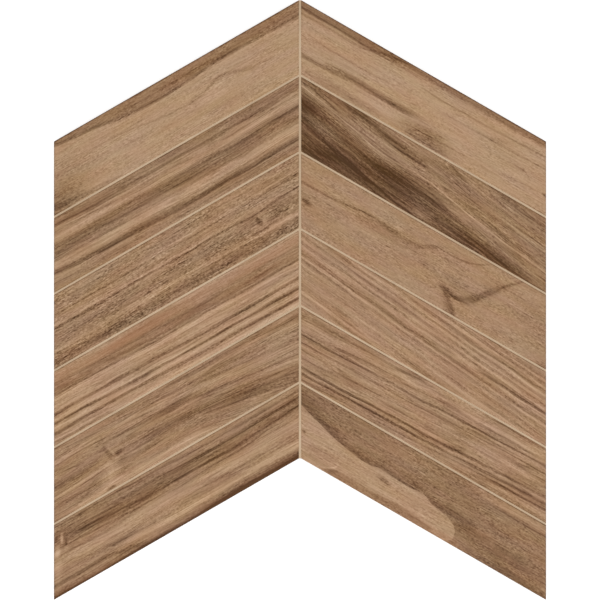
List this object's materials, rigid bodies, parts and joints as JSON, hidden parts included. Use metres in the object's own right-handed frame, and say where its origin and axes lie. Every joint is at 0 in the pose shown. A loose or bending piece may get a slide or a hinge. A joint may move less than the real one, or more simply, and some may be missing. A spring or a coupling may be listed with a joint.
{
  "type": "chevron mosaic tile sheet",
  "caption": "Chevron-shaped sheet of mitred wood-look porcelain strips with pale grouted joints on a mesh backing, for cladding walls; sheets nest point into notch.",
  "frame": {"origin": "middle of the sheet's bounding outline, on the back plane of the mesh", "axes": "+Z out of the printed face, +Y to the point of the chevron, +X to the right as seen on the face"},
  "size_m": [0.305, 0.3716, 0.0095],
  "materials": {
    "wood_look_porcelain": "matt porcelain stoneware with a printed walnut grain",
    "grout": "fine cement grout, pale beige, matt",
    "glass_mesh": "open glass-fibre mesh, white, sized with resin"
  },
  "bodies": {
    "root": {"strip_left_1": "wood_look_porcelain", "strip_left_2": "wood_look_porcelain", "strip_left_3": "wood_look_porcelain", "strip_left_4": "wood_look_porcelain", "strip_left_5": "wood_look_porcelain", "strip_left_6": "wood_look_porcelain", "strip_right_1": "wood_look_porcelain", "strip_right_2": "wood_look_porcelain", "strip_right_3": "wood_look_porcelain", "strip_right_4": "wood_look_porcelain", "strip_right_5": "wood_look_porcelain", "strip_right_6": "wood_look_porcelain", "joint_grout": "grout", "mesh_backing": "glass_mesh"}
  },
  "joints": []
}
